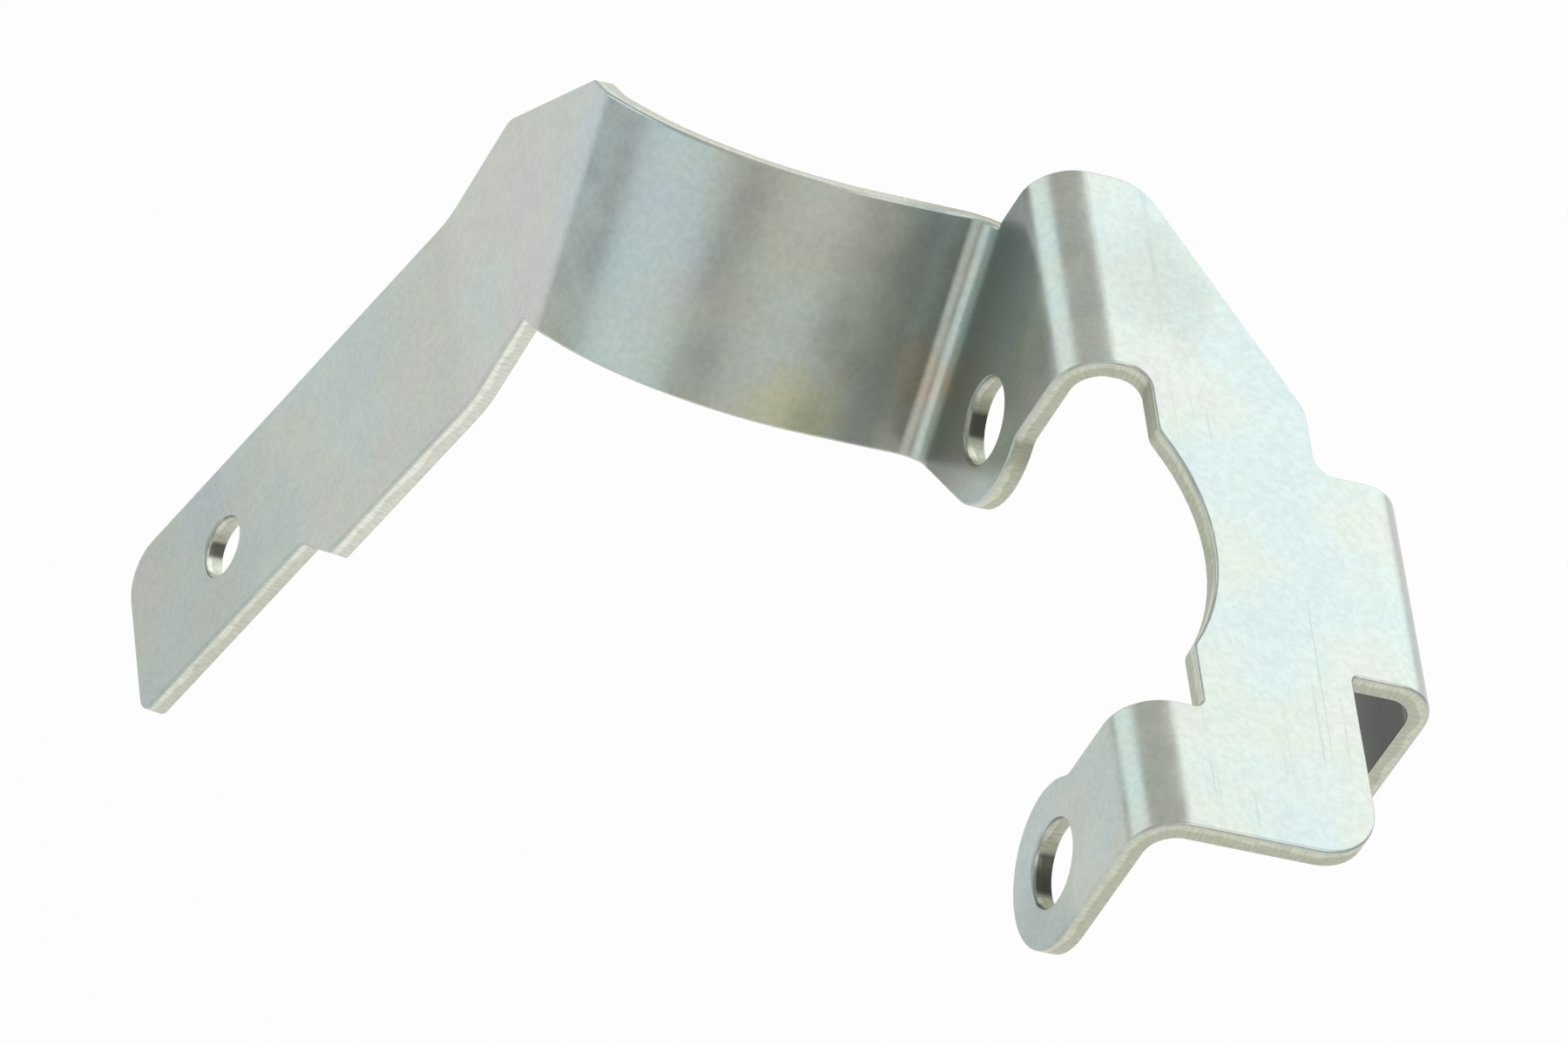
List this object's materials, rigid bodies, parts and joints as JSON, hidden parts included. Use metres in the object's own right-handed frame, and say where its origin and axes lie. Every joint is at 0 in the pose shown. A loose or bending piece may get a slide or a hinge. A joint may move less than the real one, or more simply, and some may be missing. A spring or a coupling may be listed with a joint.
{
  "type": "stamped metal bracket",
  "caption": "Folded sheet-steel mounting bracket: a windowed plate between drilled tabs, a hooked flange on its free edge, and a curved strap that carries a drilled arm.",
  "frame": {"origin": "midway between the holes of the plate's tabs, on the tabs' outer face", "axes": "+X across the plate away from its tabs, +Y along the row of tab holes towards the strap, +Z out of the plate's front face"},
  "size_m": [0.1103, 0.1553, 0.1618],
  "materials": {
    "zinc_plated_steel": "bright zinc plating with a faint iridescent tint"
  },
  "bodies": {
    "root": {"bracket": "zinc_plated_steel"}
  },
  "joints": []
}
